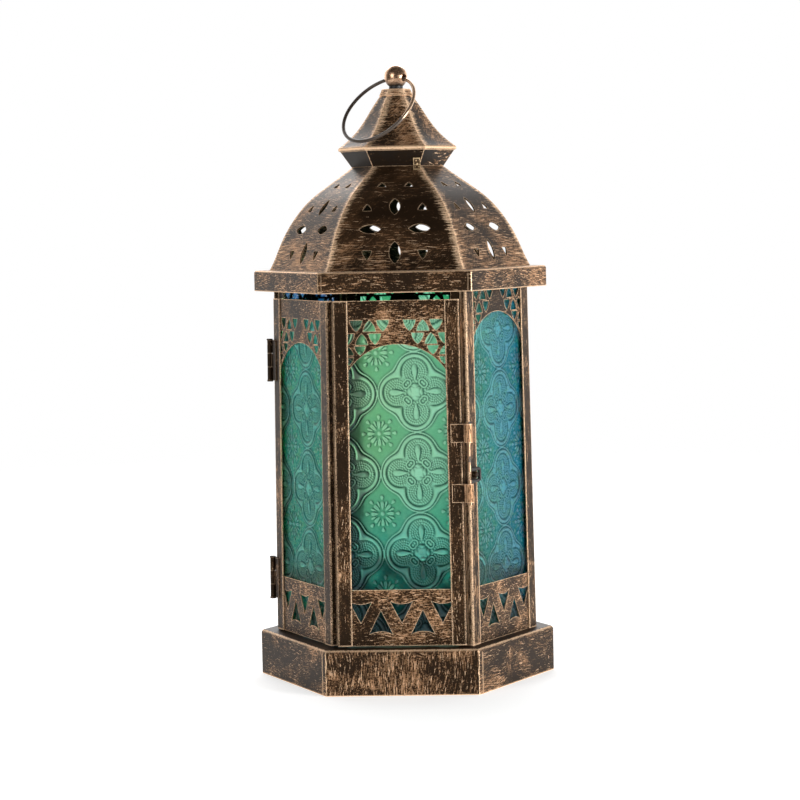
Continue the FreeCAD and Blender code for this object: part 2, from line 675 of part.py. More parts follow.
def make_cap():
    wall = SHEET / COS30 * 1.25
    tuck = RIM_LOW - 0.02
    outer = hex_loft([(NECK_R + 0.3, NECK_Z), (FLANGE_R - 1.0, tuck)])
    inner = hex_loft([(NECK_R + 0.3 - wall, NECK_Z), (FLANGE_R - 1.0 - wall, tuck)])
    save("cap_collar", outer.cut(inner))

    # pyramid: six curved facets from a rolled rim to a flat top
    outer = profile_curve(CAP_PROFILE)
    inner = profile_curve(CAP_PROFILE, SHEET)
    plate = bent_plate(outer, inner, 2 * FLANGE_R)
    facet = plate.common(gore_wedge(0, TOTAL_HEIGHT)).common(slab(RIM_TOP, CAP_PROFILE[-1][1]))
    pieces = []
    for facet_azimuth in FACETS.values():
        piece = facet.copy()
        piece.rotate(V(0, 0, 0), V(0, 0, 1), facet_azimuth)
        pieces.append(piece)
    rim = hex_prism(FLANGE_R, RIM_LOW, RIM_TOP)
    rim = fillet(rim, 0.8, lambda e: not is_upright(e))
    rim = rim.cut(hex_prism(CAP_PROFILE[0][0] - wall - 0.6, RIM_LOW - 1, RIM_TOP + 1))
    top_r, top_z = CAP_PROFILE[-1]
    top_plate = hex_prism(top_r + 0.02, top_z - SHEET, top_z)
    top_plate = top_plate.common(hex_loft([(top_r + 0.6, top_z - SHEET), (top_r, top_z)]))
    pyramid = pieces[0].fuse(pieces[1:] + [rim, top_plate]).removeSplitter()
    pyramid = pyramid.cut(Part.makeCylinder(STUD_R, 20, V(0, 0, top_z - 10)))
    save("cap_pyramid", pyramid)

    crown = hex_loft([(CROWN_LOW_R, top_z), (CROWN_TOP_R, CROWN_TOP)])
    crown = fillet(crown, 0.4, at_height(CROWN_TOP))
    crown = crown.cut(Part.makeCylinder(STUD_R, 20, V(0, 0, top_z - 10)))
    save("cap_crown", crown)


def make_lock_tabs():
    """Two strips folded across the neck, one in front and one behind."""
    tab_w, tab_t, reach, offset = 3.4, 0.7, 3.4, 10.2
    wall_face = (NECK_R + 0.3) * COS30
    neck_face = NECK_R * COS30
    flare = (FLANGE_R - 1.0 - NECK_R - 0.3) * COS30 / (RIM_LOW - NECK_Z)
    drop = (DOME_PROFILE[-2][0] - NECK_R) * COS30 / (NECK_Z - DOME_PROFILE[-2][1])
    gap = 0.03
    points = [(neck_face + gap + drop * reach * 0.6, NECK_Z - reach * 0.6),
              (wall_face + gap, NECK_Z + 0.05),
              (wall_face + gap + flare * reach, NECK_Z + reach)]
    outline = [V(r, 0, z) for r, z in points] + [V(r + tab_t, 0, z + 0.25) for r, z in reversed(points)]
    tabs = []
    for facet_azimuth, side in ((270, 1), (90, 1)):
        face = Part.Face(Part.makePolygon(outline + outline[:1]))
        tab = face.extrude(V(0, tab_w, 0))
        tab.translate(V(0, side * offset - tab_w / 2, 0))
        tab.rotate(V(0, 0, 0), V(0, 0, 1), facet_azimuth)
        tabs.append(tab)
    save("cap_lock_tabs", Part.makeCompound(tabs))


def make_finial():
    centre = TOTAL_HEIGHT - BALL_R
    shaft_low = CAP_PROFILE[-1][1] - SHEET - NUT_H - 0.8
    ball = Part.makeSphere(BALL_R, V(0, 0, centre))
    neck = Part.makeCylinder(BALL_NECK_R, centre - CROWN_TOP, V(0, 0, CROWN_TOP))
    stud = Part.makeCylinder(STUD_R, centre - shaft_low, V(0, 0, shaft_low))
    finial = ball.fuse([neck, stud]).removeSplitter()
    hole = Part.makeCylinder(RING_HOLE_R, 4 * BALL_R, V(0, 0, 0), V(1, 0, 0))
    hole.translate(V(-2 * BALL_R, 0, 0))
    hole.rotate(V(0, 0, 0), V(0, 0, 1), RING_AZIMUTH)
    hole.translate(V(0, 0, RING_PIVOT_Z))
    save("finial_ball", finial.cut(hole))

    nut_top = CAP_PROFILE[-1][1] - SHEET
    nut = hex_prism(NUT_FLATS / 2 / COS30, nut_top - NUT_H, nut_top)
    save("finial_nut", nut.cut(Part.makeCylinder(STUD_R, NUT_H, V(0, 0, nut_top - NUT_H))))


def make_ring():
    ring = Part.makeTorus(RING_R, WIRE_R, V(0, 0, -RING_R), V(0, 1, 0))
    ring.rotate(V(0, 0, 0), V(1, 0, 0), -RING_TILT)
    ring.rotate(V(0, 0, 0), V(0, 0, 1), RING_AZIMUTH)
    ring.translate(V(0, 0, RING_PIVOT_Z))
    save("hanging_ring", ring)


make_base()
make_body()
make_hinges()
make_latch()
make_eave()
make_roof()
make_cap()
make_lock_tabs()
make_finial()
make_ring()
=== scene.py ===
import math

import bpy
import numpy as np
from mathutils import Matrix, Vector


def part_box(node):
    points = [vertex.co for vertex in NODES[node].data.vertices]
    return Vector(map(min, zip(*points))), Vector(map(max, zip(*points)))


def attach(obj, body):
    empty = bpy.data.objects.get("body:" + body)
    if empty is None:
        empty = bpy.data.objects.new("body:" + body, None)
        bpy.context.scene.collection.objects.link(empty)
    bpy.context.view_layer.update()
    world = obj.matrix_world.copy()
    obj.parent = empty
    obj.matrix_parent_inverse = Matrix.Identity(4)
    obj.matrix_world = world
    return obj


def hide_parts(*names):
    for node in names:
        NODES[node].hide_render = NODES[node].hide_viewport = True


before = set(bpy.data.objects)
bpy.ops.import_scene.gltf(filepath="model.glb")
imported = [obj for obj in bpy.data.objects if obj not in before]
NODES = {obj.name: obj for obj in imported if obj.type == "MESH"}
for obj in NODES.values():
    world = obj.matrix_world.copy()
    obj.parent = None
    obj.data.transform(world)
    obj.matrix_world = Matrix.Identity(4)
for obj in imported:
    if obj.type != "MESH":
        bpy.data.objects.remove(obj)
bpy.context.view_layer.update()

# Looks of the hexagonal metal lantern: bronzed sheet metal brushed with copper, cast relief
# glass, a pale floor, soft light and the camera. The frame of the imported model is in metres;
# sizes here are in millimetres where nothing else is said, and colours are linear.

MM = 0.001
FACET_AZIMUTHS = {"front": 270, "right_front": 330, "right_rear": 30,
                  "rear": 90, "left_rear": 150, "left_front": 210}
DOOR_FACETS = ("front", "left_front")


def heights(node):
    """Lowest and highest z of a CAD node."""
    low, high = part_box(node)
    return low.z / MM, high.z / MM


BASE_LOW, BASE_HIGH = heights("base_tray")
EAVE_LOW, EAVE_HIGH = heights("eave_band")
CAP_LOW = heights("cap_pyramid")[0]
CROWN_HIGH = heights("cap_crown")[1]
BALL_TOP = heights("finial_ball")[1]

# ---- colours ----------------------------------------------------------------
COAT_DARK = (0.009, 0.0045, 0.002)
COAT_BROWN = (0.036, 0.018, 0.0078)
COPPER_DULL = (0.25, 0.135, 0.068)
COPPER = (0.50, 0.28, 0.15)
COPPER_BRIGHT = (1.0, 0.69, 0.44)
BALL_COPPER = ((0.42, 0.24, 0.14), (0.74, 0.48, 0.31))      # scratched, polished
BRASS = (0.90, 0.66, 0.38)
BRASS_DARK = (0.05, 0.028, 0.012)
STEEL = (0.46, 0.44, 0.41)
STEEL_DULL = (0.2, 0.19, 0.17)
RING_WIRE = ((0.075, 0.055, 0.042), (0.62, 0.42, 0.28))     # dark, rubbed copper that is also painted highlight
LATCH_WIRE = ((0.012, 0.009, 0.007), (0.36, 0.22, 0.13))
# near-black of the painted shade under the finial ball and on the cap collar
PAINTED_SHADE_BLACK = (0.006, 0.005, 0.0045)
BRONZE_SHEEN = (1.0, 0.72, 0.5)


# ---- node graph helper ------------------------------------------------------
class Graph:
    """Short calls for building a shader's nodes."""

    def __init__(self, tree):
        self.tree = tree

    def add(self, kind, **settings):
        node = self.tree.nodes.new(kind)
        for name, value in settings.items():
            setattr(node, name, value)
        return node

    def put(self, socket, value):
        if isinstance(value, bpy.types.NodeSocket):
            self.tree.links.new(value, socket)
        elif isinstance(value, tuple) and len(value) == 3 and socket.type == "RGBA":
            socket.default_value = (*value, 1)
        else:
            socket.default_value = value

    def math(self, operation, *values):
        node = self.add("ShaderNodeMath", operation=operation)
        for socket, value in zip(node.inputs, values):
            self.put(socket, value)
        return node.outputs[0]

    def row(self, operation, value, *others):
        """The operation on two values, then on its result and the next one, and so on."""
        for other in others:
            value = self.math(operation, value, other)
        return value

    def plus(self, *values):
        return self.row("ADD", *values)

    def minus(self, *values):
        return self.row("SUBTRACT", *values)

    def times(self, *values):
        return self.row("MULTIPLY", *values)

    def most(self, *values):
        return self.row("MAXIMUM", *values)

    def swing(self, noise, reach):
        """Noise turned into a value about 0; reach is how much of it."""
        return self.times(self.minus(noise, 0.5), reach)

    def ramp(self, value, low, high, to_low=0.0, to_high=1.0):
        """Smooth step of value between low and high."""
        node = self.add("ShaderNodeMapRange", interpolation_type="SMOOTHSTEP")
        for name, v in (("Value", value), ("From Min", low), ("From Max", high),
                        ("To Min", to_low), ("To Max", to_high)):
            self.put(node.inputs[name], v)
        return node.outputs[0]

    def mix(self, share, a, b, how="MIX"):
        """Colour between a and b."""
        node = self.add("ShaderNodeMix", data_type="RGBA", blend_type=how)
        for index, value in ((0, share), (6, a), (7, b)):
            self.put(node.inputs[index], value)
        return node.outputs[2]

    def blend(self, share, a, b):
        """Number between a and b."""
        node = self.add("ShaderNodeMix", data_type="FLOAT")
        for index, value in ((0, share), (2, a), (3, b)):
            self.put(node.inputs[index], value)
        return node.outputs[0]

    def vector(self, x, y, z):
        node = self.add("ShaderNodeCombineXYZ")
        for socket, value in zip(node.inputs, (x, y, z)):
            self.put(socket, value)
        return node.outputs[0]

    def split(self, vector):
        node = self.add("ShaderNodeSeparateXYZ")
        self.put(node.inputs[0], vector)
        return node.outputs

    def noise(self, vector, scale=1.0, detail=2.0, roughness=0.5, distortion=0.0):
        node = self.add("ShaderNodeTexNoise")
        for name, value in (("Vector", vector), ("Scale", scale), ("Detail", detail),
                            ("Roughness", roughness), ("Distortion", distortion)):
            self.put(node.inputs[name], value)
        return node.outputs[0]

    def normal(self):
        return self.add("ShaderNodeNewGeometry").outputs["Normal"]

    def point(self):
        """The surface point in the object's own frame, as x, y, z in millimetres."""
        place = self.split(self.add("ShaderNodeTexCoord").outputs["Object"])
        return [self.times(place[k], 1 / MM) for k in range(3)]


def facet_group():
    """Node group: where a point lies on the hexagon's facets."""
    tree = bpy.data.node_groups.new("facet_place", "ShaderNodeTree")
    for name in ("Along", "Out", "Height", "Hip", "Facet", "Up"):
        tree.interface.new_socket(name, in_out="OUTPUT", socket_type="NodeSocketFloat")
    g = Graph(tree)
    x, y, z = g.point()
    sixth = math.pi / 3
    facet = g.math("FLOOR", g.math("DIVIDE", g.math("ARCTAN2", y, x), sixth))
    middle = g.times(g.plus(facet, 0.5), sixth)
    c, s = g.math("COSINE", middle), g.math("SINE", middle)
    along = g.minus(g.times(y, c), g.times(x, s))
    out = g.plus(g.times(x, c), g.times(y, s))
    half = g.times(out, math.tan(math.pi / 6))
    hip = g.minus(half, g.math("ABSOLUTE", along))
    ends = g.add("NodeGroupOutput")
    for name, value in (("Along", along), ("Out", out), ("Height", z), ("Hip", hip),
                        ("Facet", facet), ("Up", g.minus(z, out))):
        g.put(ends.inputs[name], value)
    return tree


FACET_PLACE = facet_group()


def facet_place(g):
    return g.add("ShaderNodeGroup", node_tree=FACET_PLACE).outputs


def new_material(name):
    material = bpy.data.materials.new(name)
    material.use_nodes = True
    material.node_tree.nodes.clear()
    g = Graph(material.node_tree)
    shader = g.add("ShaderNodeBsdfPrincipled")
    g.put(g.add("ShaderNodeOutputMaterial").inputs[0], shader.outputs[0])
    return material, g, shader


# ---- bronzed sheet metal ----------------------------------------------------
FACET_STEP = 13.7               # sets the facets' noise apart
BROAD_PER_MM, HAIR_PER_MM = 1.9, 3.3    # how closely brush strokes and hairs lie
HAIR_LENGTH = 0.8               # of a broad stroke's
SCRATCH_LENGTH, SCRATCH_PER_MM, SCRATCH_SLOPE = 9.0, 1.7, 0.7
BRUSH_SWAY = 9.0
# from which noise value each mark begins to show, and where it is full
BROWN_SHOWS = (0.42, 0.7)
BROAD_SHOWS = (0.51, 0.63)
HAIR_SHOWS = (0.565, 0.645)
SCRATCH_SHOWS = (0.56, 0.64)
BRIGHT_HAIR = (0.6, 0.72)
BRIGHT_GRAIN = (0.3, 0.5)
UPRIGHT_TO_LEVEL = (0.34, 0.42)
FRONT_UPRIGHT = 0.24            # how much more of the front and rear has upright strokes
# share of copper in a full mark
BROAD_COPPER, HAIR_COPPER, WORN_COPPER = 0.62, 0.85, 0.92
BARE_METALLIC = 0.45
COAT_ROUGH, BARE_ROUGH, HAIR_ROUGH = 0.42, 0.36, 0.08
BUMP_STRENGTH, BUMP_DEPTH = 0.5, 0.08
# a normal's z from which a face counts as a level top, and where it fully does
LEVEL_LEDGE = (0.8, 0.97)
LEVEL_HIP = (0.9, 0.98)


BEVEL_SAMPLES = 6
EDGE_BREAKS = (0.3, 0.6, 0.3, 1.4)      # noise from and to, edge wear and painted highlight there


def edge_wear_and_highlight(g, reach, ragged, low=0.01, high=0.09):
    """1 on edges and bends within reach and 0 elsewhere, broken up by ragged noise; it marks worn
    copper that is also painted highlight. low, high: how far the surface turns where the wear
    and highlight begin to show, and where they are full."""
    bevel = g.add("ShaderNodeBevel", samples=BEVEL_SAMPLES)
    g.put(bevel.inputs["Radius"], reach * MM)
    dot = g.add("ShaderNodeVectorMath", operation="DOT_PRODUCT")
    g.put(dot.inputs[0], bevel.outputs[0])
    g.put(dot.inputs[1], g.normal())
    turned = g.minus(1.0, dot.outputs["Value"])
    return g.ramp(g.times(turned, g.ramp(ragged, *EDGE_BREAKS)), low, high)


def lay(g, run, across, length, per_mm, shift):
    """Noise drawn out along run: strokes of a length and a number per millimetre."""
    where = g.vector(g.math("DIVIDE", run, length), g.times(across, per_mm), shift)
    return g.noise(where, 1.0, 2.0, 0.6)


def brush(g, run, across, length, shift):
    """Broad strokes, and the finer hairs over them."""
    return (lay(g, run, across, length, BROAD_PER_MM, shift),
            lay(g, run, across, length * HAIR_LENGTH, HAIR_PER_MM, shift))


def brushwork(g, place, strokes, length, spot, shift, front_rear):
    """Broad strokes and hairs that run "along" the facet, "up" it, or "both" in patches."""
    # hand-laid strokes drift a little off their direction
    sway = g.times(g.noise(spot, 0.035, 1.0), BRUSH_SWAY)
    if strokes != "up":
        flat = brush(g, place["Along"], g.plus(place["Up"], sway), length, shift)
    if strokes != "along":
        across = g.plus(place["Along"], g.times(place["Out"], 0.8), sway)
        tall = brush(g, place["Height"], across, length, shift)
    if strokes != "both":
        return flat if strokes == "along" else tall
    # upright strokes on the front and rear, level ones mostly elsewhere
    turn = g.minus(g.noise(spot, 0.04, 2.0, 0.5, 1.0), g.times(front_rear, FRONT_UPRIGHT))
    turn = g.ramp(turn, *UPRIGHT_TO_LEVEL)
    return [g.blend(turn, upright, level) for upright, level in zip(tall, flat)]


HIP_FEATHER, HIP_GRAIN, HIP_DRIFT = -7.0, -1.5, 3.0     # how noises move the wear's border
HIP_FADE = 1.5                  # of the wear's width
HIP_STREAKS = (0.36, 0.56, 0.45, 0.9)   # hair noise from and to, strength there


def hip_wear(g, place, width, hair, grain, patch, level):
    """Copper rubbed bare along the hexagon's hips, but not where they cross level tops."""
    # strokes feather the wear out along the facet
    ragged = g.plus(g.swing(hair, HIP_FEATHER), g.swing(grain, HIP_GRAIN),
                    g.swing(patch, HIP_DRIFT))
    ridge = g.ramp(g.plus(place["Hip"], g.times(ragged, width)), 0.0, width * HIP_FADE, 1.0, 0.0)
    return g.times(ridge, g.ramp(hair, *HIP_STREAKS), g.ramp(level, *LEVEL_HIP, 1.0, 0.0))


def rim_wear(g, place, grain, height, half_width, strength, least_out):
    """Copper rubbed bare round a rim at a height, outside least_out."""
    off = g.math("ABSOLUTE", g.minus(place["Height"], height))
    bleed = g.swing(grain, half_width * 3.0)
    rim = g.ramp(g.plus(off, bleed), half_width * 0.3, half_width * 1.2, 1.0, 0.0)
    if least_out:
        rim = g.times(rim, g.ramp(g.plus(place["Out"], bleed), least_out - 0.3, least_out + 0.5))
    return g.times(rim, strength)


def bronzed(name, strokes="along", length=6.0, coat=(COAT_DARK, COAT_BROWN), cover=0.0,
            patchy=0.8, mottle=0.8, crossed=0.0, side_cover_and_sheen=0.0, foot=None, right=None, ledge=0.0,
            edge=0.7, edge_bright=1.0, hip=0.0, bands=()):
    """Near-black coat dry-brushed with copper.
    strokes, length: of the brush. coat: its two colours. cover: more or less copper.
    patchy: contrast between rubbed and bare areas. mottle: share of speckle. crossed: share of
    slanting scratches. side_cover_and_sheen: extra cover on all but the front and rear facets,
    which on the eave and dome is painted sheen.
    foot: (height, height, extra cover at the first). right: (x, x, extra cover at the second),
    which on the latch straps is painted highlight on their knuckles. ledge: cover taken off
    level tops. edge, edge_bright: reach and strength of the wear and painted highlight on
    edges. hip: width of the wear along the hexagon's hips. bands: worn rims, as (height,
    half width, strength, least distance out)."""
    material, g, shader = new_material(name)
    place = facet_place(g)
    shift = g.times(place["Facet"], FACET_STEP)
    spot = g.vector(place["Along"], place["Height"], g.plus(place["Out"], shift))
    patch = g.noise(spot, 0.03, 4.0, 0.62, 0.8)
    grain = g.noise(spot, 1.25, 3.0, 0.7)
    speck = g.swing(grain, mottle)
    level = g.split(g.normal())[2]
    front_rear = g.math("COMPARE", g.math("FLOORED_MODULO", place["Facet"], 3.0), 1.0, 0.1)
    broad, hair = brushwork(g, place, strokes, length, spot, shift, front_rear)

    wash = g.plus(g.swing(patch, patchy), cover)
    # extra cover on the side facets; where it is raised, on the eave and dome, it is painted sheen
    if side_cover_and_sheen:
        wash = g.plus(wash, g.minus(side_cover_and_sheen, g.times(front_rear, side_cover_and_sheen)))
    if foot:
        wash = g.plus(wash, g.ramp(place["Height"], *foot, 0.0))
    # extra cover towards the right; on the latch straps it is painted highlight on the knuckles
    if right:
        start, stop, extra = right
        wash = g.plus(wash, g.ramp(g.point()[0], start, stop, 0.0, extra))
    if ledge:
        wash = g.minus(wash, g.ramp(level, *LEVEL_LEDGE, 0.0, ledge))

    stroke = g.ramp(g.plus(broad, speck, wash), *BROAD_SHOWS)
    spark = g.ramp(g.plus(hair, g.times(speck, 0.6), g.times(wash, 0.8)), *HAIR_SHOWS)
    if crossed:
        slant = lay(g, g.plus(place["Along"], place["Up"]),
                    g.minus(place["Along"], g.times(place["Up"], SCRATCH_SLOPE)),
                    SCRATCH_LENGTH, SCRATCH_PER_MM, shift)
        scratch = g.ramp(g.plus(slant, g.times(wash, 0.6)), *SCRATCH_SHOWS)
        spark = g.most(spark, g.times(scratch, crossed))
    # worn copper on edges, hips and rims; on edges and bends it is also painted highlight
    worn = g.times(edge_wear_and_highlight(g, edge, grain), edge_bright)
    if hip:
        worn = g.most(worn, hip_wear(g, place, hip, hair, grain, patch, level))
    for band in bands:
        worn = g.most(worn, rim_wear(g, place, grain, *band))

    colour = g.mix(g.ramp(g.plus(patch, speck), *BROWN_SHOWS), *coat)
    colour = g.mix(g.times(stroke, BROAD_COPPER), colour, COPPER_DULL)
    glint = g.mix(g.ramp(hair, *BRIGHT_HAIR), COPPER, COPPER_BRIGHT)
    colour = g.mix(g.times(spark, HAIR_COPPER), colour, glint)
    rubbed = g.mix(g.ramp(grain, *BRIGHT_GRAIN), COPPER, COPPER_BRIGHT)
    colour = g.mix(g.times(worn, WORN_COPPER), colour, rubbed)
    bare = g.most(g.times(stroke, 0.5), spark, worn)
    g.put(shader.inputs["Base Color"], colour)
    g.put(shader.inputs["Metallic"], g.times(bare, BARE_METALLIC))
    g.put(shader.inputs["Specular IOR Level"], 0.2)
    g.put(shader.inputs["Specular Tint"], BRONZE_SHEEN)
    g.put(shader.inputs["Roughness"],
          g.plus(g.blend(bare, COAT_ROUGH, BARE_ROUGH), g.times(hair, HAIR_ROUGH)))
    bump = g.add("ShaderNodeBump")
    g.put(bump.inputs["Strength"], BUMP_STRENGTH)
    g.put(bump.inputs["Distance"], BUMP_DEPTH * MM)
    g.put(bump.inputs["Height"], g.plus(broad, g.times(hair, 0.6), speck))
    g.put(shader.inputs["Normal"], bump.outputs[0])
    return material


PAINTED_SHADE_FULL, PAINTED_SHADE_ENDS = 10.2, 7.4    # below the ball's top: where its painted shade is full, and where it ends
BALL_FLATTEN, BALL_STACK = 0.5, 3.0     # scratches run level


def rubbed_ball(name):
    """Polished copper ball with painted shade underneath, finely scratched."""
    material, g, shader = new_material(name)
    x, y, z = g.point()
    blot = g.noise(g.vector(x, y, z), 0.5, 3.0, 0.6)
    drawn_out = g.vector(g.times(x, BALL_FLATTEN), g.times(y, BALL_FLATTEN), g.times(z, BALL_STACK))
    scratch = g.noise(drawn_out, 1.0, 3.0, 0.65)
    # painted shade on the ball's underside
    out_of_painted_shade = g.ramp(g.plus(z, g.swing(blot, 4.0)), BALL_TOP - PAINTED_SHADE_FULL, BALL_TOP - PAINTED_SHADE_ENDS)
    copper = g.mix(g.ramp(scratch, 0.4, 0.65), *BALL_COPPER)
    copper = g.mix(g.times(g.ramp(blot, 0.5, 0.72), 0.55), copper, COAT_BROWN)
    g.put(shader.inputs["Base Color"], g.mix(out_of_painted_shade, PAINTED_SHADE_BLACK, copper))
    g.put(shader.inputs["Metallic"], g.times(out_of_painted_shade, 0.95))
    g.put(shader.inputs["Roughness"], g.blend(out_of_painted_shade, 0.5, g.plus(0.2, g.times(scratch, 0.14))))
    return material


def wire(name, colours, wear_scale, start, stop, edge):
    """Drawn wire, dark with copper rub marks; from x = start to x = stop more of it is bare copper,
    partly wear and partly painted highlight.
    """
    material, g, shader = new_material(name)
    place = g.point()
    spot = g.vector(*place)
    fleck = g.noise(spot, 2.4, 2.0, 0.6)
    rub_and_painted_highlight = g.plus(g.noise(spot, wear_scale, 3.0, 0.6), g.ramp(place[0], start, stop, -0.1, 0.28))
    bare = g.ramp(g.plus(rub_and_painted_highlight, g.times(fleck, 0.25)), 0.72, 0.86)
    bare = g.most(bare, g.times(edge_wear_and_highlight(g, edge, fleck), 0.7))
    g.put(shader.inputs["Base Color"], g.mix(bare, *colours))
    g.put(shader.inputs["Metallic"], g.blend(bare, 0.3, 0.9))
    g.put(shader.inputs["Roughness"], g.blend(bare, 0.42, g.plus(0.22, g.times(fleck, 0.16))))
    return material


def lock_brass(name):
    """Folded brass tab: dark in the middle, bright along its edges, which is rubbed brass and
    painted highlight.
    """
    material, g, shader = new_material(name)
    fleck = g.noise(g.vector(*g.point()), 1.1, 3.0, 0.6)
    # bright brass along the edges is wear and painted highlight
    worn = g.most(edge_wear_and_highlight(g, 0.9, fleck, 0.01, 0.2), g.ramp(fleck, 0.56, 0.66))
    g.put(shader.inputs["Base Color"], g.mix(worn, BRASS_DARK, BRASS))
    g.put(shader.inputs["Metallic"], g.times(worn, 0.4))
    g.put(shader.inputs["Roughness"], 0.3)
    return material


def plated_steel(name):
    """Bare plated sheet with dulled patches."""
    material, g, shader = new_material(name)
    spot = g.vector(*g.point())
    dull = g.ramp(g.noise(spot, 0.45, 4.0, 0.6), 0.42, 0.68)
    g.put(shader.inputs["Base Color"], g.mix(dull, STEEL, STEEL_DULL))
    g.put(shader.inputs["Metallic"], 1.0)
    g.put(shader.inputs["Roughness"], g.plus(0.25, g.times(g.noise(spot, 3.0, 2.0, 0.6), 0.2)))
    return material


# ---- relief glass -----------------------------------------------------------
FIELD_DEPTH = (0.35, 0.53, 0.44)        # how much deeper the flat fields are
# colour of the painted shade on the pattern's flanks
PAINTED_FLANK_SHADE = (0.0, 0.02, 0.02)
DARK_SPECK = (0.0, 0.05, 0.05)
LIGHT_SPECK = (0.9, 1.0, 0.8)
# colour of the painted highlight on the pattern's crests
PAINTED_CREST_HIGHLIGHT = (0.95, 1.0, 0.97)
WHITE = (1.0, 1.0, 1.0)
TINT_DRIFT = 24.0               # of the borders between tints, and half their width
FLECKS_SHOW = (0.5, 0.6)        # from which noise value, and where they are full
LIGHT_SPECKS_SHOW = (0.54, 0.62)
DARK_SPECKS_SHOW = (0.47, 0.38)
# shares of the pale colour in the pattern, and of the painted highlight
PALE_SHARE, PAINTED_HIGHLIGHT_SHARE = 0.3, 0.8


def relief_glass_material(name, tints, fleck, rise, grit, painted_shade_depth):
    """Cast glass: its colour drifts over the pane and is deeper in the flat fields between the
    quatrefoils; painted shade darkens the pattern's steep flanks and hollows, and painted
    highlight lightens its crests.
    tints: (left low, right low, left high, right high), blended over the heights in rise.
    fleck: (tint, share) of scattered small patches. grit: share of fine light and dark specks.
    painted_shade_depth: how dark the painted shade on the steep flanks is."""
    material, g, shader = new_material(name)
    place = facet_place(g)
    spot = g.vector(place["Along"], place["Height"], 0.0)
    sway = g.swing(g.noise(spot, 0.03, 2.0), TINT_DRIFT)
    side = g.ramp(g.plus(place["Along"], sway), -TINT_DRIFT, TINT_DRIFT)
    low, high = g.mix(side, *tints[:2]), g.mix(side, *tints[2:])
    tint = g.mix(g.ramp(g.plus(place["Height"], sway), *rise), low, high)
    patch = g.ramp(g.noise(spot, 0.24, 4.0, 0.7), *FLECKS_SHOW)
    tint = g.mix(g.times(patch, fleck[1]), tint, fleck[0])

    # cast_dark holds painted shade and cast_light painted highlight, both worked out from the
    # relief's slopes
    dark, light, zone = (g.add("ShaderNodeAttribute", attribute_name="cast_" + k).outputs["Fac"]
                         for k in ("dark", "light", "zone"))
    field = g.mix(1.0, tint, FIELD_DEPTH, how="MULTIPLY")
    body = g.mix(zone, field, g.mix(PALE_SHARE, tint, WHITE))
    # painted highlight on crests and on flanks that look left and down
    body = g.mix(g.times(light, PAINTED_HIGHLIGHT_SHARE), body, g.mix(0.85, tint, PAINTED_CREST_HIGHLIGHT))
    grain = g.noise(spot, 0.75, 3.0, 0.8)
    light_specks = g.times(g.ramp(grain, *LIGHT_SPECKS_SHOW), grit)
    dark_specks = g.times(g.ramp(grain, *DARK_SPECKS_SHOW), grit)
    body = g.mix(light_specks, body, g.mix(0.5, tint, LIGHT_SPECK))
    body = g.mix(dark_specks, body, DARK_SPECK)
    # painted shade on steep flanks, on flanks that look right and up, and in hollows
    g.put(shader.inputs["Base Color"], g.mix(g.times(dark, painted_shade_depth), body, PAINTED_FLANK_SHADE))
    g.put(shader.inputs["Transmission Weight"], 0.97)
    # rolled glass lets most light through: its surface mirrors less than polished glass
    g.put(shader.inputs["IOR"], 1.15)
    g.put(shader.inputs["Roughness"], 0.3)
    g.put(shader.inputs["Specular Tint"], (0.2, 0.2, 0.2))
    return material


PITCH = 38.2            # quatrefoil lattice, up the pane
SQUEEZE = 1.06          # and so much closer across it
LEAN = math.radians(1.3)
LOBE_OFF, LOBE_R = 9.4, 6.7
NOTCH = (0.8, 1.9)      # how softly the lobes and the band round them run into each other
BAND_AT, BAND_HALF = 1.1, 1.05      # raised band outside a lobe's beads
LINE_AT, LINE_HALF = 2.75, 0.42     # fine line outside the band
BEAD = 1.12             # bead pitch
PETAL = (8.9, 4.1, 1.9)             # centre, half length, half width, as all drops below
SCROLL_AT = (4.5, 3.6)
SCROLL_RING, SCROLL_R = 1.6, 2.3
BOSS_RING, BOSS_R = 2.7, 4.4
FLOWER_PETAL = (3.9, 2.2, 1.25)
FLOWER_BUD = (7.6, 1.25, 1.15)
FLOWER_LEAF = (4.8, 1.7, 0.75)
# heights, of the band's; in pairs, a part's foot and the rise above it
LOBE_HEIGHT, LINE_HEIGHT, HUB_HEIGHT, FLOWER_HEIGHT = 0.15, 0.62, 0.9, 0.55
BEAD_HEIGHT, PETAL_HEIGHT, BOSS_HEIGHT = (0.1, 0.6), (0.26, 0.74), (0.3, 0.7)
RELIEF_DEPTH = 0.6


def ridge(distance, half_width):
    """Rounded ridge along distance 0."""
    return np.clip(1 - (distance / half_width) ** 2, 0, 1)


def drop(u, v, centre, half_length, half_width):
    """Signed level of a teardrop whose tip points inward along u: 1 at its middle, 0 at its rim."""
    s = (u - centre) / half_length
    taper = half_width * np.clip(0.72 + 0.42 * s, 0.1, 2)
    return 1 - s ** 2 - (v / taper) ** 2


def raised(level, steepness):
    """A part's level turned into its height, with a flat top where it is steep."""
    return np.clip(level * steepness, 0, 1)


def spokes(far, turn, offset):
    """Coordinates along and across the nearest of eight spokes."""
    step = math.pi / 4
    near = turn - (np.round(turn / step - offset) + offset) * step
    return far * np.cos(near), far * np.sin(near)


def soft_least(a, b, blend):
    """The lesser of two distances, rounded off where they are about equal."""
    return -blend * np.log(np.exp(-a / blend) + np.exp(-b / blend))


